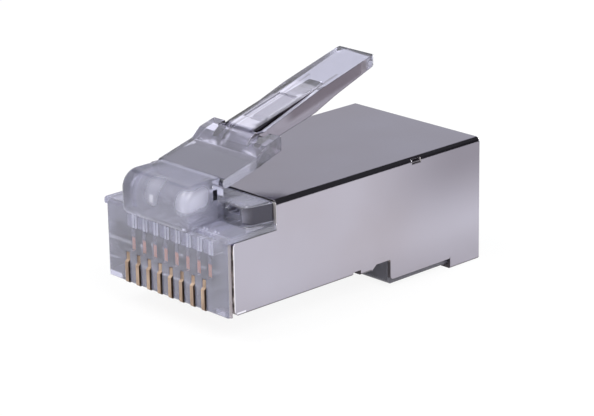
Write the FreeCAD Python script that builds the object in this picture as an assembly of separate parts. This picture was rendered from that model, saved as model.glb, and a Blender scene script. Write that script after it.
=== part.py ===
"""Shielded eight-way modular plug: clear moulded housing with a sprung latch arm, eight
insulation-piercing contact blades, and a folded metal shield.

Construction frame: X across the plug, Y from the latch's front face towards the cable end,
Z up from the underside of the nose, with the contacts below and the latch above. Every solid
is moved at the end, so that the finished part stands on Z = 0 with its length centred on Y.
"""
import FreeCAD, Part
import math
import os

V = FreeCAD.Vector
FAR = 30.0                     # longer than anything in the part, for cutting tools

# ---- overall -------------------------------------------------------------------------
plug_width = 11.68             # across the shield
shield_top = 6.56              # top of the shield above the underside of the nose
plug_length = 22.83            # from the latch's front face to the rear edge of the shield
rear_drop = 1.48               # how far the deep rear of the housing reaches below the nose
seat_gap = 0.03                # clearance between the shield and the housing

# ---- shield --------------------------------------------------------------------------
sheet = 0.25                   # sheet thickness
bend_inner = 0.08              # inner radius of the two top folds
fold_outer = 0.14              # outer radius of the coined folds underneath
cheek_front = 1.32             # front edge of the side panels
cheek_round = 0.45             # its lower corner
cheek_crown = 0.25             # its upper corner
roof_front = 4.85              # front edge of the top
flap_level = 0.08              # underside of the flaps above that of the nose
nose_flap_end = 11.27          # rear end of the flaps folded under the nose
nose_flap_width = 1.40         # narrow flap beside the contacts
flap_wide_from = 6.40          # here the flaps widen and meet
flap_seam = 0.30               # gap between the two wide flaps
panel_rise = 0.29              # lower edge of the panel behind the flaps
tab_gap = 0.68                 # from the flaps' end to the short tab, which is folded under too
tab_length = 0.95
tab_width = 1.20               # how far the tab reaches under the housing
tab_level = -0.05              # underside of the tab
tab_slope = 0.42               # length of the curved rear end of the tab
panel_skirt = 0.42             # strip of housing left bare below the rear panel
edge_round = 0.08              # small corners of the blank
panel_round = 0.25             # lower front corner of the rear panel
collar_lead = 0.12             # slope that leads from the panel into the collar
collar_front = 20.10           # front edge of the crimp collar at the cable end
collar_seam = 0.80             # gap between the collar's two ends, underneath
lance_from = 16.55             # small square lances pressed into both top folds
lance_length = 0.80
lance_height = 0.26
lance_drop = 0.12              # below the top of the fold
lance_depth = 0.06

# ---- housing -------------------------------------------------------------------------
nose_face = 0.92               # contact face of the nose
lip_inset = 0.16               # how far the front lip stays inside the shield's outer faces
ledge_height = 5.10            # top of the low front part of the housing
rim_height = 0.37              # rim above the low panels, flush with the shield
rim_corner = 0.25
nose_chamfer = 0.28            # upright corners below the rim
nose_edge = 0.15               # rounding of the front edge underneath
shoulder_front = 2.89          # stop faces each side of the latch
shoulder_half_width = 4.90     # at the stop face; the sides widen towards the shield
shoulder_flare = 0.35          # how far they widen at once
shoulder_bend = 0.45           # over this length
shoulder_round = 0.45          # top front edge
shoulder_step = 0.09           # the shoulders' top, below the top of the shield
pocket_gap = 0.66              # from the latch root to the coring pocket in each stop face
pocket_wall = 0.15             # outside of the pocket
pocket_roof = 0.21             # above it
pocket_height = 0.38
pocket_depth = 0.70
slit_gap = 0.08                # narrow pocket between the latch root and the wide one
slit_width = 0.32
slit_height = 0.24
step_gap = 3.31                # from the nose flaps' end to the deep rear part
step_round = 0.35
housing_end_inset = 0.30       # the housing stops this far inside the shield's rear edge
wall_top = 0.63
wall_bottom = 0.62
wall_side = 0.81
cavity_throat = 8.10           # here the cable space narrows to the wire channels
cavity_front = 11.10           # here it has its full height
throat_half_width = 4.10
floor_ramp = 1.10              # the floor drops to the deep rear part over this length
bar_gap = 0.20                 # around the strain-relief bar in its window
bar_half_width = 3.20
bar_front_gap = 0.40           # window's front edge behind the nose flaps' end
bar_rear_gap = 0.35            # and its rear edge ahead of the deep rear part
bar_height = 0.34              # crest of the bar above the floor
bar_web = 0.15                 # underside of the bar above that of the floor
bar_crest = 1.00               # length of the crest's rear slope

# ---- contacts and wire channels ---------------------------------------------------------
ways = 8
pitch = 1.02
blade = 0.30                   # blade thickness
slot_clearance = 0.02          # each side of a blade
blade_proud = 0.14             # lower front edge of a blade ahead of the nose face
blade_recess = 0.03            # blade edge above the underside of the nose
blade_rear = 4.25
foot_height = 2.02             # low front part of a blade, which reaches the nose face
foot_upper = 0.50              # its upper stretch, just behind the nose face
foot_relief = 0.02             # by this much
foot_round = 0.12
heel_round = 0.50              # lower rear corner of a blade
body_setback = 1.15            # front edge of the tall part, behind the nose face
tines = 3
tine_root = 2.95
tine_tip = 3.44
channel_width = 0.90           # square wire channels
channel_height = 0.86
channel_corner = 0.10
wire_height = 3.94             # centre of the wire channels
channel_setback = 0.95         # blind front end of the wire channels, behind the nose face
slot_top = 4.42

# ---- latch ---------------------------------------------------------------------------
root_half_width = 3.04
root_bottom = 4.85
root_top = 7.72
root_round = 1.20              # top front edge
root_foot_round = 0.55         # lower front edge
root_corner = 0.50             # all edges of its two sides
root_step = 2.30               # here the root narrows
root_taper = 0.15              # over this length
root_neck_half_width = 2.75
hinge_y = 3.40                 # bending line of the latch arm
hinge_z = 7.40
arm_thickness = 0.62
hinge_clearance = 0.06
arm_slope = 15.0               # degrees, rise of the thin part of the arm
arm_fillet = 2.00              # under the wings
wing_front = 6.05              # the locking wings start here
wing_face = 7.95               # and lock here
wing_ramp = 0.58               # length of the steep ramp at their front
wing_fall = 0.36               # how far their top falls from the lock faces to the ramp
wing_top = 9.36
wing_bottom = 8.43
handle_half_width = 1.57
# the handle's side view, as distances behind the lock faces and heights above the wings' top
brow_out, brow_up = -0.80, 0.13          # where the handle rises out of the wings
knee_out, knee_up = 4.65, 1.62           # top edge, middle
crest_out, crest_up = 6.95, 2.28         # top edge, where it steepens
tip_out, tip_up = 9.75, 3.08             # top edge, tip
tip_thickness = 0.74
belly_out, belly_up = 4.25, 0.20         # lowest bend of the underside
throat_out, throat_up = 6.15, 1.02       # underside, where it thins towards the tip
heel_out, heel_up = 0.50, -0.76          # underside, behind the wings
keel_front = 0.20              # the handle's keel starts this far behind the wings' front
keel_drop = 0.42               # and reaches this far below the wings
tip_round = 0.45
tip_edge = 0.25
brow_bend = 2.40               # bending radii of its long edges
back_bend = 8.00
belly_bend = 3.00
rebate_width = 0.28
rebate_depth = 0.38
panel_half_width = 0.80        # shallow panel on top of the handle
panel_from = 1.20              # behind the place where the handle rises
panel_length = 3.10
panel_depth = 0.10
core_half_width = 0.65         # coring under the handle
core_roof = 0.62               # material left above it
core_end_web = 0.15            # and below it at the throat
notch_width = 0.50             # relief notches between handle and wings
notch_depth = 0.55

half_width = plug_width / 2
housing_half = half_width - sheet - seat_gap
bend_outer = sheet + bend_inner
nose_floor = flap_level + sheet + seat_gap          # underside of the housing over the flaps
housing_top = shield_top - sheet - seat_gap
housing_end = plug_length - housing_end_inset
collar_bottom = -rear_drop - seat_gap - sheet       # lowest face of the part
panel_bottom = -rear_drop + panel_skirt
shoulder_top = shield_top - shoulder_step
cheek_top = ledge_height - rim_height               # top edge of the panels' low front part
rim_bottom = cheek_top + seat_gap
step_place = nose_flap_end + step_gap               # front face of the deep rear part
tab_front = nose_flap_end + tab_gap


# ---- shared helpers --------------------------------------------------------------------
def box(x0, x1, y0, y1, z0, z1):
    return Part.makeBox(x1 - x0, y1 - y0, z1 - z0, V(x0, y0, z0))


def pair(x0, x1, y0, y1, z0, z1):
    """The same box on both sides of the plug."""
    return [box(x0, x1, y0, y1, z0, z1), box(-x1, -x0, y0, y1, z0, z1)]


def corner_arc(before, at, after, radius):
    """Tangent points and middle of the arc that rounds one corner."""
    to_before = (before - at).normalize()
    to_after = (after - at).normalize()
    half = to_before.getAngle(to_after) / 2
    reach = radius / math.tan(half)
    bisector = (to_before + to_after).normalize()
    centre = at + bisector * (radius / math.sin(half))
    return at + to_before * reach, centre - bisector * radius, at + to_after * reach


def outline(points, plane):
    """Closed face through points (a, b) or (a, b, corner radius), seen along one axis.

    plane "YZ" is a side view, "XY" a plan and "XZ" an end view.
    """
    place = {"YZ": lambda a, b: V(0, a, b), "XY": lambda a, b: V(a, b, 0),
             "XZ": lambda a, b: V(a, 0, b)}[plane]
    corners = [place(p[0], p[1]) for p in points]
    radii = [p[2] if len(p) > 2 else 0 for p in points]
    edges = []
    starts = []
    count = len(corners)
    for i, corner in enumerate(corners):
        if radii[i]:
            after = corners[(i + 1) % count]
            first, middle, last = corner_arc(corners[i - 1], corner, after, radii[i])
            starts.append((first, last))
            edges.append(Part.Arc(first, middle, last).toShape())
        else:
            starts.append((corner, corner))
    for i in range(count):
        leave, arrive = starts[i][1], starts[(i + 1) % count][0]
        if leave.distanceToPoint(arrive) > 1e-6:
            edges.append(Part.makeLine(leave, arrive))
    return Part.Face(Part.Wire(Part.__sortEdges__(edges)))


def side_solid(points, x0, x1):
    return outline(points, "YZ").translate(V(x0, 0, 0)).extrude(V(x1 - x0, 0, 0))


def plan_solid(points, z0, z1):
    return outline(points, "XY").translate(V(0, 0, z0)).extrude(V(0, 0, z1 - z0))


def end_solid(points, y0, y1):
    return outline(points, "XZ").translate(V(0, y0, 0)).extrude(V(0, y1 - y0, 0))


def join(first, *others):
    return first.fuse([s for s in others]).removeSplitter()


def contact_places():
    return [(i - (ways - 1) / 2) * pitch for i in range(ways)]


# ---- shield ----------------------------------------------------------------------------
def ring(offset, bottom, top_radius, low_radius):
    """End view of the folded sheet, this far inside its outer faces."""
    w, low, high = half_width - offset, bottom + offset, shield_top - offset
    return [(-w, low, low_radius), (w, low, low_radius), (w, high, top_radius), (-w, high, top_radius)]


def tube(y0, y1, bottom):
    """Rectangular tube with folded corners, from one station to another."""
    outside = end_solid(ring(0, bottom, bend_outer, fold_outer), y0, y1)
    return outside.cut(end_solid(ring(sheet, bottom, bend_inner, 0), y0, y1))


def open_channel(y0, y1, bottom):
    """Top and sides only, as straight panels down to the bottom."""
    deep = tube(y0, y1, bottom - 2.0)
    return deep.cut(box(-FAR, FAR, y0, y1, bottom - FAR, bottom))


def panel_outline():
    """Side view of the whole blank."""
    tab_rear, small = tab_front + tab_length, edge_round
    return [
        (cheek_front, flap_level, cheek_round), (nose_flap_end, flap_level),
        (nose_flap_end, panel_rise, small), (tab_front, panel_rise, small), (tab_front, tab_level),
        (tab_rear, tab_level), (tab_rear + tab_slope, panel_rise, small),
        (step_place, panel_rise, small), (step_place, panel_bottom, panel_round),
        (collar_front - collar_lead / 2, panel_bottom, collar_lead / 2),
        (collar_front, panel_bottom + collar_lead),
        (collar_front, collar_bottom), (plug_length, collar_bottom), (plug_length, shield_top),
        (roof_front, shield_top), (roof_front, cheek_top), (cheek_front, cheek_top, cheek_crown),
    ]


def make_shield():
    tab_rear = tab_front + tab_length
    blank = join(tube(cheek_front, nose_flap_end, flap_level),
                 open_channel(nose_flap_end, tab_front, panel_bottom),
                 tube(tab_front, tab_rear, tab_level),
                 open_channel(tab_rear, collar_front, panel_bottom),
                 tube(collar_front, plug_length, collar_bottom))
    shield = blank.common(side_solid(panel_outline(), -half_width, half_width))
    inner, tab_inner = half_width - nose_flap_width, half_width - tab_width
    windows = [
        box(-inner, inner, 0, flap_wide_from, -1, bend_outer),
        box(-flap_seam / 2, flap_seam / 2, 0, nose_flap_end, -1, bend_outer),
        box(-tab_inner, tab_inner, tab_front, tab_rear, -1, bend_outer),
        box(-collar_seam / 2, collar_seam / 2, collar_front, FAR, collar_bottom - 1,
            collar_bottom + bend_outer),
    ]
    return shield.cut(windows + lances()).removeSplitter()


def lances():
    """Square marks pressed into the two top folds, which keep the curve of the fold."""
    top, end = shield_top - lance_drop, lance_from + lance_length
    inside = end_solid(ring(lance_depth, 0, bend_outer - lance_depth, 0), lance_from, end)
    marks = pair(half_width - bend_outer, half_width + 1, lance_from, end, top - lance_height, top)
    return [mark.cut(inside) for mark in marks]


# ---- housing ---------------------------------------------------------------------------
def body_block():
    """Outer form of the moulding without the latch root."""
    side = [
        (nose_face, nose_floor), (step_place, nose_floor), (step_place, -rear_drop, step_round),
        (housing_end, -rear_drop), (housing_end, housing_top),
        (roof_front - seat_gap, housing_top), (roof_front - seat_gap, shoulder_top),
        (shoulder_front, shoulder_top, shoulder_round), (shoulder_front, ledge_height),
        (nose_face + rim_height, ledge_height), (nose_face, rim_bottom),
    ]
    low, high, w = -rear_drop, shoulder_top, housing_half
    end = end_solid([(-w, low, bend_inner), (w, low, bend_inner),
                     (w, high, bend_inner), (-w, high, bend_inner)], 0, FAR)
    return side_solid(side, -w, w).common(end).common(nose_plan())


def nose_plan():
    """Plan of the nose below its rim, with chamfered upright corners."""
    w = half_width - lip_inset
    corner, rear = w - nose_chamfer, nose_face + nose_chamfer
    return plan_solid([(-corner, nose_face), (corner, nose_face), (w, rear), (w, FAR),
                       (-w, FAR), (-w, rear)], -FAR, FAR)


def nose_trim():
    """Contact land between the flaps, front lip and the rim above the low panels."""
    land_half = half_width - nose_flap_width - seat_gap
    land_rear = flap_wide_from - seat_gap
    lip_rear = cheek_front - seat_gap
    rim_rear = roof_front - seat_gap
    inside = sheet / 2                               # the pieces run this far into each other
    land = side_solid([(nose_face, 0, nose_edge), (land_rear, 0), (land_rear, nose_floor + inside),
                       (nose_face, nose_floor + inside)], -land_half, land_half)
    lip = side_solid([(nose_face, 0, nose_edge), (lip_rear, 0), (lip_rear, rim_bottom + inside),
                      (nose_face, rim_bottom + inside)], -half_width, half_width)
    rim = side_solid([(nose_face, rim_bottom), (rim_rear, rim_bottom), (rim_rear, ledge_height),
                      (nose_face, ledge_height, rim_height * 0.9)], -half_width, half_width)
    rim_plan = [(-half_width, nose_face, rim_corner), (half_width, nose_face, rim_corner),
                (half_width, FAR), (-half_width, FAR)]
    return [land, lip.common(nose_plan()), rim.common(plan_solid(rim_plan, 0, FAR))]


def corner_cuts():
    """Tapered sides of the shoulders."""
    outer, rear = half_width + 1, roof_front - seat_gap
    front = shoulder_front - seat_gap
    cuts = []
    for side in (1, -1):
        taper = [(side * shoulder_half_width, front), (side * outer, front), (side * outer, rear),
                 (side * housing_half, rear),
                 (side * (shoulder_half_width + shoulder_flare), shoulder_front + shoulder_bend, 0.6)]
        cuts.append(plan_solid(taper, ledge_height, shield_top + 1))
    return cuts


def latch_root():
    """Soft-cornered block that carries the latch arm, with the groove for the arm's rounded end."""
    w, neck, narrow = root_half_width, root_neck_half_width, root_step + root_taper
    foot_rear, foot_top = nose_face + nose_chamfer, ledge_height - rim_height / 2
    side = [
        (0, root_bottom, root_foot_round), (0, root_top, root_round), (hinge_y, root_top),
        (hinge_y, foot_top), (foot_rear, foot_top), (foot_rear, root_bottom),
    ]
    block = side_solid(side, -w, w)
    sides = [e for e in block.Edges if abs(e.CenterOfMass.x) > w / 2]
    soft = [e for e in sides if e.CenterOfMass.y < foot_rear - 1e-6 or e.CenterOfMass.z > root_top - 1e-6]
    block = block.makeFillet(root_corner, soft)
    plan = [(-w, 0), (w, 0), (w, root_step), (neck, narrow), (neck, FAR), (-neck, FAR),
            (-neck, narrow), (-w, root_step)]
    groove = Part.makeCylinder(arm_thickness / 2 + hinge_clearance, 2 * w + 2,
                               V(-w - 1, hinge_y, hinge_z), V(1, 0, 0))
    return block.common(plan_solid(plan, 0, FAR)).cut(groove)


def cable_space():
    """Space for the cable, from the deep rear mouth down to the row of wires."""
    side = [
        (cavity_throat, wire_height - channel_height / 2), (cavity_front, nose_floor + wall_bottom, 0.6),
        (step_place, nose_floor + wall_bottom, 0.4),
        (step_place + floor_ramp, wall_bottom - rear_drop, 0.6),
        (FAR, wall_bottom - rear_drop), (FAR, housing_top - wall_top),
        (cavity_front, housing_top - wall_top, 1.2), (cavity_throat, wire_height + channel_height / 2),
    ]
    w = housing_half - wall_side
    plan = [(-throat_half_width, cavity_throat), (throat_half_width, cavity_throat),
            (w, cavity_front, 1.0), (w, FAR), (-w, FAR), (-w, cavity_front, 1.0)]
    return side_solid(side, -w, w).common(plan_solid(plan, -FAR, FAR))


def contact_cuts():
    """Blade slots, open at the front and below, and the wire channels above them."""
    half, tall = blade / 2 + slot_clearance, channel_height / 2
    upper_front = nose_face + body_setback - slot_clearance
    slot_rear = blade_rear + slot_clearance
    channel_front = nose_face + channel_setback
    cuts = []
    for x in contact_places():
        cuts.append(box(x - half, x + half, 0, slot_rear, -1, foot_height + slot_clearance))
        cuts.append(box(x - half, x + half, upper_front, slot_rear, 0, slot_top))
        left, right = x - channel_width / 2, x + channel_width / 2
        low, high, corner = wire_height - tall, wire_height + tall, channel_corner
        cuts.append(end_solid([(left, low, corner), (right, low, corner), (right, high, corner),
                               (left, high, corner)], channel_front, cavity_throat + channel_corner))
    return cuts


def strain_bar():
    """Cable clamp bar on its thin web, and the window in the floor around it."""
    floor_top = nose_floor + wall_bottom
    front, rear = nose_flap_end + bar_front_gap, step_place - bar_rear_gap
    w, tail, under = bar_half_width, rear - bar_gap, nose_floor + bar_web
    window = box(-w - bar_gap, w + bar_gap, front, rear, -rear_drop, floor_top)
    bar = side_solid([(front - bar_gap, under), (tail, under, 0.1),
                      (tail, floor_top, 0.1), (tail - bar_crest / 2, floor_top + bar_height, 0.3),
                      (front + bar_crest / 2, floor_top + bar_web, 0.2),
                      (front - bar_gap, floor_top - bar_web)], -w, w)
    return window, bar


def shoulder_pockets():
    """Coring pockets in the two stop faces, a wide one and a narrow one beside the latch root."""
    top, near = shoulder_top - pocket_roof, root_half_width + slit_gap
    front, rear = shoulder_front - seat_gap, shoulder_front + pocket_depth
    wide = pair(root_half_width + pocket_gap, shoulder_half_width - pocket_wall, front, rear,
                top - pocket_height, top)
    return wide + pair(near, near + slit_width, front, rear, top - slit_height, top)


def make_housing():
    window, bar = strain_bar()
    outer = join(body_block(), latch_root(), *nose_trim())
    outer = outer.cut(corner_cuts())
    hollow = outer.cut([cable_space(), window] + contact_cuts() + shoulder_pockets())
    return join(hollow, bar)


# ---- latch arm -------------------------------------------------------------------------
def along_arm(distance, height):
    """Point on the thin part of the arm, measured along its slope from the bending line."""
    a = math.radians(arm_slope)
    return (hinge_y + distance * math.cos(a) - height * math.sin(a),
            hinge_z + distance * math.sin(a) + height * math.cos(a))


def thin_part():
    """Flexing part with its rounded root, and the locking wings at its end."""
    half = arm_thickness / 2
    reach = (wing_front - hinge_y) / math.cos(math.radians(arm_slope))
    side = [
        along_arm(0, half), along_arm(0, -half), along_arm(reach, -half) + (arm_fillet,),
        (wing_face, wing_bottom, 0.08), (wing_face, wing_top, 0.08),
        (wing_front + wing_ramp, wing_top - wing_fall, 0.15), along_arm(reach, half) + (0.1,),
    ]
    w = root_half_width
    blank = side_solid(side, -w, w)
    knuckle = Part.makeCylinder(half, 2 * w, V(-w, hinge_y, hinge_z), V(1, 0, 0))
    return join(blank, knuckle)


def handle_point(out, up, *radius):
    """Point of the handle, from the lock faces and the wings' top."""
    return (wing_face + out, wing_top + up) + radius


def handle_part():
    """Finger lever, deepest in the middle and thin at its tip."""
    front, low = wing_front - wing_face + keel_front, wing_bottom - wing_top
    side = [
        handle_point(front, low - keel_drop), handle_point(front + core_end_web, low + keel_drop, 0.3),
        handle_point(brow_out, brow_up, brow_bend), handle_point(knee_out, knee_up, back_bend),
        handle_point(crest_out, crest_up, back_bend), handle_point(tip_out, tip_up, tip_edge),
        handle_point(tip_out, tip_up - tip_thickness, tip_edge),
        handle_point(throat_out, throat_up, back_bend), handle_point(belly_out, belly_up, belly_bend),
        handle_point(heel_out, heel_up),
    ]
    w, tip = handle_half_width, wing_face + tip_out
    bar = side_solid(side, -w, w)
    plan = [(-w, 0), (w, 0), (w, tip, tip_round), (-w, tip, tip_round)]
    return bar.common(plan_solid(plan, 0, FAR))


def below_top(out, depth, *radius):
    """Point at a depth under the straight stretch of the handle's top edge."""
    rise = (knee_up - brow_up) / (knee_out - brow_out)
    return handle_point(out, brow_up + rise * (out - brow_out) - depth, *radius)


def handle_cuts():
    """Rebates along the top edges, the shallow panel on top, the coring below and the notches."""
    w, clear = handle_half_width, tip_thickness
    start = brow_out + panel_from
    end = start + panel_length
    edge = [below_top(brow_out + clear, rebate_depth), below_top(knee_out, 0.0),
            below_top(knee_out, -clear), below_top(brow_out, -clear),
            below_top(brow_out, rebate_depth / 2, 0.3)]
    panel = [below_top(start, panel_depth), below_top(end, panel_depth),
             below_top(end, -clear), below_top(start, -clear)]
    core = [handle_point(heel_out + clear / 2, heel_up - clear), below_top(heel_out + clear, core_roof, 0.2),
            below_top(belly_out, core_roof, 2.0), handle_point(throat_out, throat_up + core_end_web, 0.1),
            handle_point(throat_out + core_end_web, heel_up)]
    cuts = [side_solid(edge, w - rebate_width, w + clear), side_solid(edge, -w - clear, rebate_width - w),
            side_solid(panel, -panel_half_width, panel_half_width),
            side_solid(core, -core_half_width, core_half_width)]
    return cuts + pair(w, w + notch_width, wing_face - notch_depth, wing_face + clear, 0, FAR)


def make_latch_arm():
    return join(thin_part(), handle_part()).cut(handle_cuts()).removeSplitter()


# ---- contacts --------------------------------------------------------------------------
def make_contact(x):
    """Flat blade: low foot at the nose face, tall body behind it, three piercing tines."""
    front, face = nose_face - blade_proud, nose_face + foot_relief
    body_front, low, face_low = nose_face + body_setback, blade_recess, foot_height - foot_upper
    step = (blade_rear - body_front) / tines
    side = [(front, low, foot_round), (blade_rear, low, heel_round), (blade_rear, tine_root)]
    for i in range(tines):
        rear = blade_rear - i * step
        side += [(rear - 0.16 * step, tine_tip), (rear - 0.40 * step, tine_tip),
                 (rear - 0.84 * step, tine_root)]
    side[-1] = (body_front, tine_root, foot_round)
    side += [(body_front, foot_height), (face, foot_height, foot_round), (face, face_low),
             (front, face_low - blade_proud)]
    return side_solid(side, x - blade / 2, x + blade / 2)


# ---- the part --------------------------------------------------------------------------
def save(name, solid):
    """Stand the part on Z = 0 with its length centred, and write one piece."""
    placed = solid.translated(V(0, -plug_length / 2, -collar_bottom))
    if not placed.isValid() or len(placed.Solids) != 1:
        print("CHECK", name, placed.isValid(), len(placed.Solids))
    placed.exportStep("parts/%s.step" % name)
    b = placed.BoundBox
    print("%-12s %8.3f mm3  x %.2f..%.2f  y %.2f..%.2f  z %.2f..%.2f"
          % (name, placed.Volume, b.XMin, b.XMax, b.YMin, b.YMax, b.ZMin, b.ZMax))


def main():
    os.makedirs("parts", exist_ok=True)
    save("housing", make_housing())
    save("shield", make_shield())
    save("latch_arm", make_latch_arm())
    for number, x in enumerate(contact_places(), 1):
        save("contact_%d" % number, make_contact(x))


main()
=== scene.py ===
"""Studio scene of a shielded modular plug: clear latch housing, folded plated shield, gilt blades."""
import bpy
import math
from collections import namedtuple
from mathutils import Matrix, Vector

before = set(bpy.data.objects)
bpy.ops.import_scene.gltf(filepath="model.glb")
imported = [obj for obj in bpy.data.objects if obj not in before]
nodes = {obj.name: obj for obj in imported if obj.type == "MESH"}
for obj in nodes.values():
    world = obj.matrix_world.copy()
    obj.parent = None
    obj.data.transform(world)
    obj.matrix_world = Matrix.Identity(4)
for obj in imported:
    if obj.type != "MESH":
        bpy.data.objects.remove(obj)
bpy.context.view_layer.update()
scene = bpy.context.scene
MM = 0.001
X, Y, Z = 0, 1, 2
WAYS = 8                       # contacts
PITCH = 1.02 * MM              # from one contact to the next


# ---- camera ----------------------------------------------------------------------------
CAMERA_PLACE = (0.107696, -0.100184, 0.054703)
CAMERA_TURN = (71.292, 0.958, 46.573)          # in degrees

bpy.ops.object.camera_add(location=CAMERA_PLACE, rotation=[math.radians(turn) for turn in CAMERA_TURN])
camera = bpy.context.object
camera.name = "product_camera"
camera.data.sensor_width = 36.0
camera.data.lens = 147.72
camera.data.clip_start = 0.005
camera.data.clip_end = 20.0
scene.camera = camera
scene.view_settings.view_transform = "Standard"


# ---- node helpers ------------------------------------------------------------------------
MIX_FIRST, MIX_SECOND, MIX_RESULT = 6, 7, 2    # the colour sockets of a mix node


def empty_material(name):
    """A material with its node tree and the surface socket of its output."""
    made = bpy.data.materials.new(name)
    made.use_nodes = True
    tree = made.node_tree
    tree.nodes.clear()
    out = tree.nodes.new("ShaderNodeOutputMaterial")
    return made, tree, out.inputs["Surface"]


def new_material(name):
    """A material with its node tree and the one shader that covers it."""
    made, tree, surface = empty_material(name)
    shader = tree.nodes.new("ShaderNodeBsdfPrincipled")
    tree.links.new(shader.outputs[0], surface)
    return made, tree, shader


def node(tree, kind, **values):
    """A node with its attributes set, and its inputs too: in_0 is the first."""
    made = tree.nodes.new(kind)
    for key, value in values.items():
        if key.startswith("in_"):
            made.inputs[int(key[3:])].default_value = value
        else:
            setattr(made, key, value)
    return made


def feed(tree, value, socket):
    """Link a socket to the value, or set it where the value is a plain number or colour."""
    if isinstance(value, bpy.types.NodeSocket):
        tree.links.new(value, socket)
    else:
        socket.default_value = value


def maths(tree, operation, first, second=0.0):
    """Result of one operation on two values, each a socket or a number."""
    made = node(tree, "ShaderNodeMath", operation=operation)
    feed(tree, first, made.inputs[0])
    feed(tree, second, made.inputs[1])
    return made.outputs[0]


def product(tree, first, *others):
    """All the values multiplied together."""
    result = first
    for other in others:
        result = maths(tree, "MULTIPLY", result, other)
    return result


def size_of(tree, value):
    """The value without its sign."""
    return maths(tree, "ABSOLUTE", value)


def mixed(tree, share, first, second):
    """Blend of two colours, each a socket or a plain colour, with that share of the second."""
    made = node(tree, "ShaderNodeMix", data_type="RGBA")
    tree.links.new(share, made.inputs[0])
    feed(tree, first, made.inputs[MIX_FIRST])
    feed(tree, second, made.inputs[MIX_SECOND])
    return made.outputs[MIX_RESULT]


def grey(value):
    """A grey, also for a plain value that a colour node blends."""
    return (value, value, value, 1)


def object_noise(tree, scale, detail=3.0, stretch=(1, 1, 1)):
    """Cloudy value from 0 to 1 in the object's own space, finer for a larger scale."""
    coordinates = tree.nodes.new("ShaderNodeTexCoord")
    mapping = node(tree, "ShaderNodeMapping")
    mapping.inputs["Scale"].default_value = stretch
    noise = tree.nodes.new("ShaderNodeTexNoise")
    noise.inputs["Scale"].default_value = scale
    noise.inputs["Detail"].default_value = detail
    tree.links.new(coordinates.outputs["Object"], mapping.inputs[0])
    tree.links.new(mapping.outputs[0], noise.inputs["Vector"])
    return noise.outputs[0]


def ramp(tree, value, colours, start=0.3, end=0.7):
    """Colour that goes from the first of two to the second while the value goes from start to end."""
    made = tree.nodes.new("ShaderNodeValToRGB")
    for element, position, colour in zip(made.color_ramp.elements, (start, end), colours):
        element.position = position
        element.color = colour
    tree.links.new(value, made.inputs[0])
    return made.outputs[0]


def mask_between(tree, value, low, high):
    """1 where the value is above high, 0 below low; the other way round where low is above high."""
    made = node(tree, "ShaderNodeMapRange", interpolation_type="SMOOTHSTEP")
    made.inputs["From Min"].default_value = low
    made.inputs["From Max"].default_value = high
    tree.links.new(value, made.inputs["Value"])
    return made.outputs[0]


def bump(tree, shader, height, strength, distance, edge=0.0):
    """Raise the surface by the height; an edge radius rounds the shading over sharp edges too."""
    made = tree.nodes.new("ShaderNodeBump")
    if edge:
        soft = tree.nodes.new("ShaderNodeBevel")
        soft.samples = 4
        soft.inputs["Radius"].default_value = edge
        tree.links.new(soft.outputs[0], made.inputs["Normal"])
    made.inputs["Strength"].default_value = strength
    made.inputs["Distance"].default_value = distance
    tree.links.new(height, made.inputs["Height"])
    tree.links.new(made.outputs[0], shader.inputs["Normal"])


# ---- places on a piece -------------------------------------------------------------------
# A place is a box in millimetres with a soft margin around it. Its faces are those square to one axis, or
# all of them where that is None. A box that starts at X = 0 or more stands for both sides of the plug alike.
Place = namedtuple("Place", "low high margin faces", defaults=(None,))
STRAIGHT_MARGIN = 0.25         # a wider margin wanders, as a flow mark does
FLOW_SCALE = 420.0             # noise scale of the flow marks
NOISE_MIDDLE = 0.5


def position_of(tree):
    """X, Y and Z of the object's own space."""
    coordinates = tree.nodes.new("ShaderNodeTexCoord")
    split = tree.nodes.new("ShaderNodeSeparateXYZ")
    tree.links.new(coordinates.outputs["Object"], split.inputs[0])
    return split.outputs


def facing_of(tree):
    """X, Y and Z of the direction that the bare face looks in."""
    shape = tree.nodes.new("ShaderNodeNewGeometry")
    split = tree.nodes.new("ShaderNodeSeparateXYZ")
    tree.links.new(shape.outputs["True Normal"], split.inputs[0])
    return split.outputs


def looks_along(tree, axis, low=0.70, high=0.88):
    """1 on faces square to an axis, on either side, and 0 on those turned away from it."""
    return mask_between(tree, size_of(tree, facing_of(tree)[axis]), low, high)


def inside(tree, place):
    """1 on a place, falling to 0 over the margin around it."""
    where = list(position_of(tree))
    if place.margin > STRAIGHT_MARGIN:
        wander = maths(tree, "SUBTRACT", object_noise(tree, FLOW_SCALE, detail=1.0), NOISE_MIDDLE)
        where = [maths(tree, "ADD", value, product(tree, wander, place.margin * MM)) for value in where]
    if place.low[X] >= 0:
        where[X] = size_of(tree, where[X])
    share = 1.0 if place.faces is None else looks_along(tree, place.faces)
    for value, start, end in zip(where, place.low, place.high):
        rise = mask_between(tree, value, (start - place.margin) * MM, start * MM)
        fall = mask_between(tree, value, (end + place.margin) * MM, end * MM)
        share = product(tree, share, product(tree, rise, fall))
    return share


# ---- clear plastic -------------------------------------------------------------------------
# A zone is a place with a finish of its own, where clearness and haze go from 0 to 1; where its name and
# comment say so, its tint and clearness paint highlights and shade instead. A later zone lies over an earlier
# one.
# The boxes that end at -12 in front, 15 on top or 12 at the rear reach past the plug there.
Zone = namedtuple("Zone", "place clearness tint haze")
POLYCARBONATE_IOR = 1.58
CLOUD_SCALE = 260.0            # noise scale of the slow changes in tint, haze and clearness
LEAST_HAZE, MOST_HAZE = 0.7, 1.4               # times the stated haze
CLEARNESS_DROP = 0.01          # in the clouds

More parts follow.
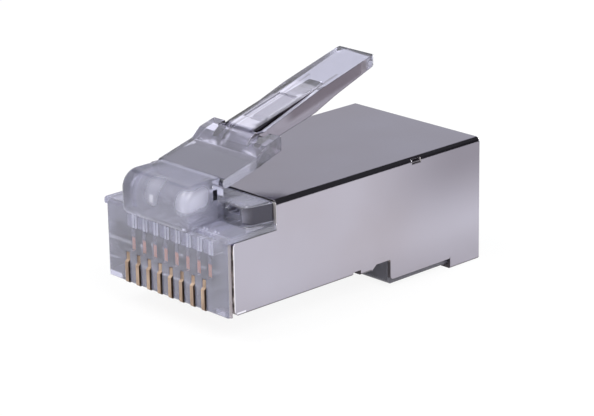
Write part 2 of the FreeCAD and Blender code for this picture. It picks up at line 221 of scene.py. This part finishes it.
root_block = Zone(Place((0.0, -12.0, 6.9), (3.3, -8.6, 9.6), 0.4), 0.70, (0.49, 0.49, 0.64), 0.25)
# painted highlights, one on each side of the middle, high on the root's front
root_paired_highlights = Zone(Place((1.3, -12.0, 8.6), (1.6, -10.8, 9.0), 0.8), 0.72, (0.60, 0.60, 0.76), 0.22)
# painted highlight, a pale patch down the middle of the root's front to its top
root_middle_highlight = Zone(Place((0.0, -12.0, 8.3), (0.2, -11.0, 9.6), 0.8), 0.66, (0.64, 0.64, 0.80), 0.30)
# painted reflection of a softbox on the root's rounded upper corners
root_corner_reflections = Zone(Place((2.8, -11.6, 8.3), (3.3, -10.0, 8.9), 0.8), 0.58, (0.77, 0.77, 0.94), 0.32)
# painted shade on the root's lower outer corners
root_low_corner_shade = Zone(Place((2.7, -11.6, 6.9), (3.3, -10.8, 7.1), 0.5), 0.78, (0.42, 0.42, 0.56), 0.22)
# painted shade on the root's left end, which has no twin on the right
root_left_end_shade = Zone(Place((-3.4, -12.0, 7.2), (-2.1, -9.0, 9.6), 0.8), 0.80, (0.38, 0.38, 0.50), 0.20)
gate_mark = Zone(Place((0.0, -11.6, 8.1), (0.12, -11.2, 8.5), 0.08, Y), 0.50, (0.85, 0.85, 0.98), 0.30)

shoulder_block = Zone(Place((3.3, -8.6, 7.05), (5.9, -6.4, 8.4), 0.10), 0.92, (0.62, 0.62, 0.73), 0.02)
# painted light and shade: the shoulder's tops paler, as lit, its sides and corners nearly black, as shaded
shoulder_lit_tops = Zone(Place((3.3, -8.6, 8.15), (5.3, -6.4, 8.4), 0.10, Z), 0.70, (0.66, 0.66, 0.80), 0.06)
shoulder_shaded_sides = Zone(Place((4.7, -8.6, 7.05), (5.6, -6.4, 8.10), 0.10, X), 0.12, (0.050, 0.048, 0.065), 0.06)
shoulder_shaded_corners = Zone(Place((4.92, -8.5, 7.05), (5.4, -8.0, 8.10), 0.03), 0.20, (0.055, 0.052, 0.068), 0.06)

neck_tops = Zone(Place((2.3, -9.2, 8.95), (3.0, -8.4, 9.6), 0.20), 0.82, (0.62, 0.62, 0.76), 0.15)
# painted shade in the gap at the neck's sides, nearly black
neck_shaded_sides = Zone(Place((2.6, -9.15, 8.2), (3.0, -8.55, 8.8), 0.05, X), 0.30, (0.03, 0.03, 0.036), 0.10)

nose_block = Zone(Place((0.0, -10.8, 1.6), (5.9, -9.6, 6.95), 0.20), 0.80, (0.69, 0.69, 0.85), 0.05)
nose_cloud = Zone(Place((1.5, -10.8, 5.9), (5.9, -9.6, 6.95), 1.50), 0.73, (0.64, 0.64, 0.81), 0.05)
nose_window = Zone(Place((0.0, -10.8, 4.3), (4.3, -10.4, 5.2), 0.90, Y), 0.89, (0.78, 0.78, 0.95), 0.02)
# painted highlights, slightly paler strips on the nose's front upright corners
nose_upright_highlights = Zone(Place((5.30, -10.6, 1.8), (5.44, -10.3, 6.4), 0.06), 0.78, (0.70, 0.70, 0.86), 0.05)
nose_side_strips = Zone(Place((5.60, -10.55, 1.7), (5.8, -10.0, 6.4), 0.03), 0.45, (0.42, 0.38, 0.40), 0.10)
ledge = Zone(Place((3.0, -10.6, 6.75), (5.8, -8.5, 6.95), 0.05, Z), 0.68, (0.70, 0.70, 0.86), 0.08)
# painted shade under the rear, where the cable goes in
cable_end_shade = Zone(Place((0.0, 3.0, -0.5), (6.0, 12.0, 3.2), 0.5), 0.45, (0.15, 0.145, 0.18), 0.15)

HOUSING_ZONES = (
    root_block, root_paired_highlights, root_middle_highlight, root_corner_reflections, root_low_corner_shade, root_left_end_shade, gate_mark,
    shoulder_block, shoulder_lit_tops, shoulder_shaded_sides, shoulder_shaded_corners,
    neck_tops, neck_shaded_sides,
    nose_block, nose_cloud, nose_window, nose_upright_highlights, nose_side_strips, ledge,
    cable_end_shade,
)
# painted shade: these faces turn dark metal, so that they show dark from within the plastic too
HOUSING_SHADED_FACES = ((neck_shaded_sides.place, 0.9), (shoulder_shaded_sides.place, 0.6), (shoulder_shaded_corners.place, 0.6))
channel_end_rows = Place((0.0, -9.60, 5.2), (4.1, -9.49, 6.2), 0.03, Y)

arm_strap = Zone(Place((0.0, -8.4, 8.0), (3.3, -5.6, 10.9), 0.2), 0.95, (0.44, 0.44, 0.54), 0.03)
arm_wings = Zone(Place((0.0, -5.4, 9.9), (3.3, -3.2, 11.3), 0.25), 0.89, (0.70, 0.69, 0.85), 0.04)
strap_sides = Zone(Place((2.9, -8.3, 8.0), (3.1, -5.6, 10.9), 0.10, X), 0.80, (0.60, 0.60, 0.72), 0.25)
lever_back = Zone(Place((0.0, -4.0, 9.0), (0.90, 1.5, 15.0), 0.12), 0.70, (0.68, 0.67, 0.80), 0.03)
lever_tip = Zone(Place((0.0, 2.0, 9.0), (1.7, 7.0, 15.0), 0.8), 0.94, (0.44, 0.44, 0.56), 0.03)
# painted shade: the lever's brows, flanks and rebates and the notches in the wings are tinted dark to nearly
# black
lever_shaded_brows = Zone(Place((1.08, -4.3, 9.0), (1.27, 3.2, 15.0), 0.03), 0.96, (0.22, 0.21, 0.26), 0.03)
lever_shaded_sides = Zone(Place((1.45, -4.6, 6.0), (1.7, 5.3, 15.0), 0.05, X), 0.30, (0.25, 0.23, 0.275), 0.04)
lever_shaded_rebates = Zone(Place((1.25, -5.4, 6.0), (1.33, 1.9, 15.0), 0.04, X), 0.10, (0.02, 0.018, 0.024), 0.10)
wing_notch_shade = Zone(Place((1.60, -4.1, 9.8), (2.08, -3.3, 11.2), 0.03), 0.30, (0.05, 0.042, 0.05), 0.10)

ARM_ZONES = (
    arm_strap, arm_wings, strap_sides,
    lever_back, lever_tip, lever_shaded_brows, lever_shaded_sides, lever_shaded_rebates,
    wing_notch_shade,
)
# painted shade: these faces turn dark metal, so that they show dark from within the plastic too
ARM_SHADED_FACES = (
    (Place((1.50, -4.6, 6.0), (1.7, 4.9, 15.0), 0.04, X), 0.65),       # the lever's flanks
    (Place((1.25, -4.6, 6.0), (1.33, 1.9, 15.0), 0.04, X), 0.90),      # its rebates
    (Place((1.55, -4.1, 9.8), (2.10, -3.3, 11.2), 0.04), 0.95),        # the notches in the wings
)
shadowed_flanks = Place((1.50, -0.8, 6.0), (1.7, 4.9, 15.0), 1.2, X)
LEVER_RISE = 0.28              # slope of the lever's top edge
SHADOW_FROM, SHADOW_FULL = 11.45 * MM, 11.80 * MM      # heights at Y = 0; the shadow rises with the lever


def channel_end_highlights(tree):
    """1 on one half of each wire channel's blind end, painted pale and nearly opaque: a painted highlight for
    the light lines there.
    """
    across = maths(tree, "FRACT", maths(tree, "DIVIDE", position_of(tree)[X], PITCH))     # share of the pitch
    half = mask_between(tree, across, 0.50, 0.53)
    groove = product(tree, mask_between(tree, across, 0.68, 0.70), mask_between(tree, across, 0.79, 0.77))
    return product(tree, inside(tree, channel_end_rows), maths(tree, "SUBTRACT", half, groove))


def lever_shadow(tree):
    """1 on the upper part of the lever's flanks, below its rising top edge."""
    where = position_of(tree)
    level = maths(tree, "SUBTRACT", where[Z], product(tree, where[Y], LEVER_RISE))
    return product(tree, inside(tree, shadowed_flanks), mask_between(tree, level, SHADOW_FROM, SHADOW_FULL))


def clear_plastic(name, tints, clearness, haze, zones, shaded_faces, patch):
    """Clear polycarbonate with soft flow marks and zones that differ in clearness, tint and haze; many of the
    zones are painted light and shade.

    The shaded faces turn dark metal, a painted shade that shows dark from within the plastic too, where a
    clear one would mirror. The patch is a function that gives its share of the surface, with its own
    clearness and tint: a painted highlight for the body, a painted shadow for the arm. It lies over the
    zones.
    """
    made, tree, shader = new_material(name)
    shader.inputs["IOR"].default_value = POLYCARBONATE_IOR
    clouds = object_noise(tree, CLOUD_SCALE)
    colour = ramp(tree, clouds, tints)
    gloss = ramp(tree, clouds, (grey(haze * LEAST_HAZE), grey(haze * MOST_HAZE)), start=0.35, end=0.75)
    clear = ramp(tree, clouds, (grey(clearness - CLEARNESS_DROP), grey(clearness)))
    for zone in zones:
        share = inside(tree, zone.place)
        colour = mixed(tree, share, colour, zone.tint + (1,))
        gloss = mixed(tree, share, gloss, grey(zone.haze))
        clear = mixed(tree, share, clear, grey(zone.clearness))
    dark = 0.0
    for place, strength in shaded_faces:
        dark = maths(tree, "MAXIMUM", product(tree, inside(tree, place), strength), dark)
    patch_share, patch_clearness, patch_tint = patch
    share = patch_share(tree)
    colour = mixed(tree, share, colour, patch_tint + (1,))
    clear = mixed(tree, share, clear, grey(patch_clearness))
    tree.links.new(colour, shader.inputs["Base Color"])
    tree.links.new(dark, shader.inputs["Metallic"])
    tree.links.new(gloss, shader.inputs["Roughness"])
    tree.links.new(clear, shader.inputs["Transmission Weight"])
    flow = object_noise(tree, FLOW_SCALE, detail=2.0)
    bump(tree, shader, flow, strength=0.12, distance=0.05 * MM, edge=0.08 * MM)
    return made


# ---- plated sheet --------------------------------------------------------------------------
NICKEL = ((0.372, 0.345, 0.382, 1), (0.415, 0.40, 0.460, 1))
# painted shade, darker nickel high up at the rear of the side panels
NICKEL_REAR_SHADE = (0.23, 0.215, 0.25, 1)
SHEARED_EDGE = ((0.12, 0.10, 0.10, 1), (0.50, 0.45, 0.44, 1))
# painted shade on the folds underneath
FOLD_SHADE = (0.14, 0.125, 0.135, 1)
# painted highlight along the side panels' front and lower edges
RIM_HIGHLIGHT = (0.80, 0.79, 0.84, 1)
DARK_LANCE = (0.13, 0.12, 0.135, 1)
# painted shade on the sheared rims
RIM_SHADE = (0.04, 0.035, 0.038, 1)
ROLLED_ROUGHNESS = (grey(0.06), grey(0.14))
CUT_ROUGHNESS = grey(0.55)

# where the painted highlight lies
front_rim_highlights = Place((5.7, -10.2, 1.9), (5.9, -10.04, 6.4), 0.02, X)
lower_rim_highlights = Place((5.7, -9.9, 1.97), (5.9, -9.2, 2.06), 0.02, X)
lances = Place((5.4, 5.13, 7.88), (5.9, 5.95, 8.22), 0.02)

# the sheared ends change with height: where a band starts, where it is full, both in millimetres, its colour;
# the bright band is a painted highlight and the nearly black one a painted shade
END_BANDS = (
    (6.50, 6.60, (0.66, 0.63, 0.62, 1)),       # bright from the side panels' upper corners upwards
    (8.20, 8.23, (0.03, 0.027, 0.03, 1)),      # nearly black along the upper edge of the top
    (2.00, 1.80, (0.10, 0.09, 0.10, 1)),       # dark at the foot
)


def upper_rear_shade(tree):
    """1 high up at the rear of the side panels, from 0 at their middle and low down: there the nickel is
    painted darker, a painted shade.
    """
    where = position_of(tree)
    backwards = mask_between(tree, where[Y], -1.0 * MM, 10.0 * MM)
    upwards = mask_between(tree, where[Z], 2.5 * MM, 7.5 * MM)
    return product(tree, looks_along(tree, X), backwards, upwards)


def cut_ends(tree):
    """1 on the sheet's sheared edges across the plug."""
    return looks_along(tree, Y, 0.80, 0.92)


def cut_rims(tree):
    """1 on the sheared upper and lower rims of the side panels, which are painted nearly black: a painted
    shade.
    """
    where = position_of(tree)
    below_top = mask_between(tree, where[Z], 7.8 * MM, 7.6 * MM)
    outer = mask_between(tree, size_of(tree, where[X]), 5.55 * MM, 5.62 * MM)
    return product(tree, looks_along(tree, Z, 0.85, 0.95), below_top, outer)


def shaded_folds_underneath(tree):
    """1 on the tight folds underneath, which are painted dark: painted shade for the shadowed floor that they
    mirror.
    """
    down = product(tree, facing_of(tree)[Z], -1)
    return product(tree, mask_between(tree, down, 0.10, 0.30), mask_between(tree, down, 0.99, 0.96))


def plated_sheet():
    """Bright nickel over thin rolled sheet, with bare sheared edges; painted shade lies on the folds
    underneath, on the upper rear of the side panels and on the rims, painted highlights along the panels'
    front and lower edges, and painted light and shade in bands on the sheared ends.
    """
    made, tree, shader = new_material("bright_nickel_sheet")
    shader.inputs["Metallic"].default_value = 1.0
    colour = ramp(tree, object_noise(tree, 90.0), NICKEL)
    # painted shade at the upper rear
    colour = mixed(tree, upper_rear_shade(tree), colour, NICKEL_REAR_SHADE)
    # painted shade on the folds underneath
    colour = mixed(tree, shaded_folds_underneath(tree), colour, FOLD_SHADE)
    # painted highlight along the panels' front and lower edges
    rims = maths(tree, "ADD", inside(tree, front_rim_highlights), inside(tree, lower_rim_highlights))
    colour = mixed(tree, rims, colour, RIM_HIGHLIGHT)
    colour = mixed(tree, inside(tree, lances), colour, DARK_LANCE)
    grit = object_noise(tree, 2500.0, detail=2.0)
    edge = ramp(tree, grit, SHEARED_EDGE, start=0.38, end=0.66)
    height = position_of(tree)[Z]
    for start, full, band_colour in END_BANDS:
        edge = mixed(tree, mask_between(tree, height, start * MM, full * MM), edge, band_colour)
    ends = cut_ends(tree)
    rim_cuts = cut_rims(tree)
    colour = mixed(tree, ends, colour, edge)
    # painted shade on the sheared rims
    colour = mixed(tree, rim_cuts, colour, RIM_SHADE)
    tree.links.new(colour, shader.inputs["Base Color"])
    rolled = object_noise(tree, 900.0, detail=4.0, stretch=(1.0, 0.08, 1.0))
    gloss = ramp(tree, rolled, ROLLED_ROUGHNESS, end=0.8)
    gloss = mixed(tree, maths(tree, "MAXIMUM", ends, rim_cuts), gloss, CUT_ROUGHNESS)
    tree.links.new(gloss, shader.inputs["Roughness"])
    bump(tree, shader, rolled, strength=0.05, distance=0.01 * MM, edge=0.06 * MM)
    return made


# ---- contact blades ------------------------------------------------------------------------
GILT = ((0.22, 0.155, 0.115, 1), (0.50, 0.37, 0.275, 1))
# painted shade on the blades' flanks
FLANK_SHADE = (0.10, 0.07, 0.05, 1)
COPPER = (1.0, 0.30, 0.05, 1)
# painted shade on the tines
TINE_SHADE = (0.16, 0.12, 0.10, 1)
GILT_METALLIC, COPPER_METALLIC = grey(1.0), grey(0.35)
FOOT_END, BODY_START = -9.46 * MM, -9.40 * MM          # between the gilt foot and the taller body behind it
BODY_TOP, TINE_START = 4.50 * MM, 4.70 * MM


def gilt_blade():
    """Stamped blade: brownish gilt foot with painted shade on its flanks, bright copper body behind it, and
    tines painted dark as shade.
    """
    made, tree, shader = new_material("gilt_contact_blade")
    shader.inputs["Roughness"].default_value = 0.30
    grain = object_noise(tree, 1800.0, detail=5.0, stretch=(1.0, 1.0, 0.3))
    where = position_of(tree)
    body = mask_between(tree, where[Y], FOOT_END, BODY_START)
    tines = mask_between(tree, where[Z], BODY_TOP, TINE_START)
    colour = ramp(tree, grain, GILT, start=0.32, end=0.66)
    # painted shade on the flanks
    colour = mixed(tree, looks_along(tree, X), colour, FLANK_SHADE)
    colour = mixed(tree, body, colour, COPPER)
    # painted shade on the tines
    colour = mixed(tree, tines, colour, TINE_SHADE)
    tree.links.new(colour, shader.inputs["Base Color"])
    tree.links.new(mixed(tree, body, GILT_METALLIC, COPPER_METALLIC), shader.inputs["Metallic"])
    bump(tree, shader, grain, strength=0.2, distance=0.01 * MM)
    return made


# ---- finish of each piece ------------------------------------------------------------------
def dress(name, material):
    """Give a piece its one material."""
    mesh = nodes[name].data
    mesh.materials.clear()
    mesh.materials.append(material)


body_plastic = clear_plastic(
    "clear_body_plastic", tints=((0.70, 0.70, 0.83, 1), (0.76, 0.76, 0.88, 1)), clearness=0.86, haze=0.05,
    zones=HOUSING_ZONES, shaded_faces=HOUSING_SHADED_FACES, patch=(channel_end_highlights, 0.10, (0.95, 0.95, 1.0)))
arm_plastic = clear_plastic(
    "clear_arm_plastic", tints=((0.58, 0.58, 0.70, 1), (0.64, 0.64, 0.76, 1)), clearness=0.95, haze=0.03,
    zones=ARM_ZONES, shaded_faces=ARM_SHADED_FACES, patch=(lever_shadow, 0.20, (0.13, 0.11, 0.135)))
sheet_metal = plated_sheet()
gilt = gilt_blade()
dress("housing", body_plastic)
dress("latch_arm", arm_plastic)
dress("shield", sheet_metal)
for number in range(1, WAYS + 1):
    dress("contact_%d" % number, gilt)


# ---- floor and world -------------------------------------------------------------------------
WHITE = (1, 1, 1, 1)
FLOOR_SIZE = 6.0
FLOOR_COLOUR = (0.86, 0.86, 0.87, 1)
FLOOR_GLOW_SEEN = 0.90         # share of plain white in the floor that the camera sees
FLOOR_GLOW_MIRRORED = 0.35     # and in the floor that the metal and the plastic show
SKY_COLOUR = (0.98, 0.98, 1.0, 1)
SKY_STRENGTH = 0.6
BACKDROP = Vector((-0.69, 0.65, -0.10)).normalized()   # from the plug towards the backdrop
BACKDROP_FROM, BACKDROP_FULL = 0.55, 0.85      # its soft edge, as cosines from its middle
SURROUND = 0.50                # strength away from the backdrop


def deselect():
    """Leave nothing selected, so that the next operator acts on its own object alone."""
    for chosen in bpy.context.selected_objects:
        chosen.select_set(False)


def studio_floor():
    """A wide pale floor that keeps the plug's shadow and is seen nearly white."""
    deselect()
    bpy.ops.mesh.primitive_plane_add(size=FLOOR_SIZE, location=(0, 0, 0))
    floor = bpy.context.object
    floor.name = "studio_floor"
    made, tree, surface = empty_material("studio_floor")
    matt = node(tree, "ShaderNodeBsdfDiffuse", in_0=FLOOR_COLOUR)
    glow = node(tree, "ShaderNodeEmission", in_0=WHITE)
    path = tree.nodes.new("ShaderNodeLightPath")
    seen = product(tree, path.outputs["Is Camera Ray"], FLOOR_GLOW_SEEN)
    through = maths(tree, "MAXIMUM", path.outputs["Is Glossy Ray"], path.outputs["Is Transmission Ray"])
    share = maths(tree, "MAXIMUM", seen, product(tree, through, FLOOR_GLOW_MIRRORED))
    mix = tree.nodes.new("ShaderNodeMixShader")
    tree.links.new(share, mix.inputs[0])
    tree.links.new(matt.outputs[0], mix.inputs[1])
    tree.links.new(glow.outputs[0], mix.inputs[2])
    tree.links.new(mix.outputs[0], surface)
    floor.data.materials.append(made)


def white_behind(tree):
    """Strength of what the clear plastic shows: white behind the plug, dimmer all round."""
    coordinates = tree.nodes.new("ShaderNodeTexCoord")
    backdrop = node(tree, "ShaderNodeVectorMath", operation="DOT_PRODUCT")
    backdrop.inputs[1].default_value = BACKDROP
    tree.links.new(coordinates.outputs["Generated"], backdrop.inputs[0])
    white = mask_between(tree, backdrop.outputs["Value"], BACKDROP_FROM, BACKDROP_FULL)
    return maths(tree, "MAXIMUM", white, SURROUND)


def studio_world():
    """Soft light all round, plain white to the camera and to mirrors, and a backdrop to the clear plastic."""
    world = bpy.data.worlds.new("studio_world")
    scene.world = world
    world.use_nodes = True
    tree = world.node_tree
    tree.nodes.clear()
    out = tree.nodes.new("ShaderNodeOutputWorld")
    sky = node(tree, "ShaderNodeBackground", in_0=SKY_COLOUR, in_1=SKY_STRENGTH)
    through = node(tree, "ShaderNodeBackground", in_0=WHITE)
    tree.links.new(white_behind(tree), through.inputs[1])
    seen = node(tree, "ShaderNodeBackground", in_0=WHITE, in_1=1.0)
    path = tree.nodes.new("ShaderNodeLightPath")
    open_view = maths(tree, "MAXIMUM", path.outputs["Is Glossy Ray"], path.outputs["Is Camera Ray"])
    mix = sky
    for share, shown in ((open_view, seen), (path.outputs["Is Transmission Ray"], through)):
        both = tree.nodes.new("ShaderNodeMixShader")
        tree.links.new(share, both.inputs[0])
        tree.links.new(mix.outputs[0], both.inputs[1])
        tree.links.new(shown.outputs[0], both.inputs[2])
        mix = both
    tree.links.new(mix.outputs[0], out.inputs[0])


# ---- lamps and cards -------------------------------------------------------------------------
CARD_BLUE = 1.09               # blue in the cards, for each part of red and green


def softbox(name, location, size, watts, look_at=(0, 0, 0.005)):
    """A soft rectangular lamp that points at a spot."""
    deselect()
    bpy.ops.object.light_add(type="AREA", location=location)
    lamp = bpy.context.object
    lamp.name = name
    lamp.data.shape = "RECTANGLE"
    lamp.data.size, lamp.data.size_y = size
    lamp.data.energy = watts
    lamp.rotation_euler = (Vector(look_at) - Vector(location)).to_track_quat("-Z", "Y").to_euler()
    return lamp


def grey_card(name, location, size, shade, look_at=(0, 0, 0.008)):
    """A plain card outside the view, for the metal and the plastic to mirror."""
    deselect()
    bpy.ops.mesh.primitive_plane_add(size=1.0)
    card = bpy.context.object
    card.name = name
    card.scale = (size[0], size[1], 1)
    card.location = location
    card.rotation_euler = (Vector(look_at) - Vector(location)).to_track_quat("Z", "Y").to_euler()
    made, tree, surface = empty_material(name)
    glow = node(tree, "ShaderNodeEmission", in_0=(shade, shade, shade * CARD_BLUE, 1), in_1=1.0)
    tree.links.new(glow.outputs[0], surface)
    card.data.materials.append(made)
    card.visible_camera = False
    card.visible_shadow = False
    card.visible_diffuse = False


studio_floor()
studio_world()
softbox("key_softbox", location=(-0.10, -0.16, 0.24), size=(0.16, 0.16), watts=0.50)
softbox("fill_softbox", location=(0.22, -0.06, 0.20), size=(0.20, 0.20), watts=0.75)
mouth_light = softbox("mouth_light", location=(0.0, 0.10, 0.014), size=(0.05, 0.03), watts=0.08,
                      look_at=(0, 0.01, 0.004))
mouth_light.visible_camera = False
grey_card("back_card", location=(-0.32, 0.28, 0.11), size=(0.52, 0.20), shade=0.61,
          look_at=(-0.32, 0, 0.11))
grey_card("high_dark_card", location=(0.05, 0.30, 0.37), size=(0.90, 0.30), shade=0.05,
          look_at=(0.05, 0, 0.37))
grey_card("left_dark_card", location=(-0.28, 0.055, 0.285), size=(0.10, 0.10), shade=0.02)
grey_card("side_dark_card", location=(0.26, 0.30, 0.10), size=(0.38, 0.24), shade=0.05,
          look_at=(0.26, 0, 0.10))
scene.cycles.max_bounces = 20                  # enough for a ray to pass all the walls of the clear housing
scene.cycles.transmission_bounces = 20
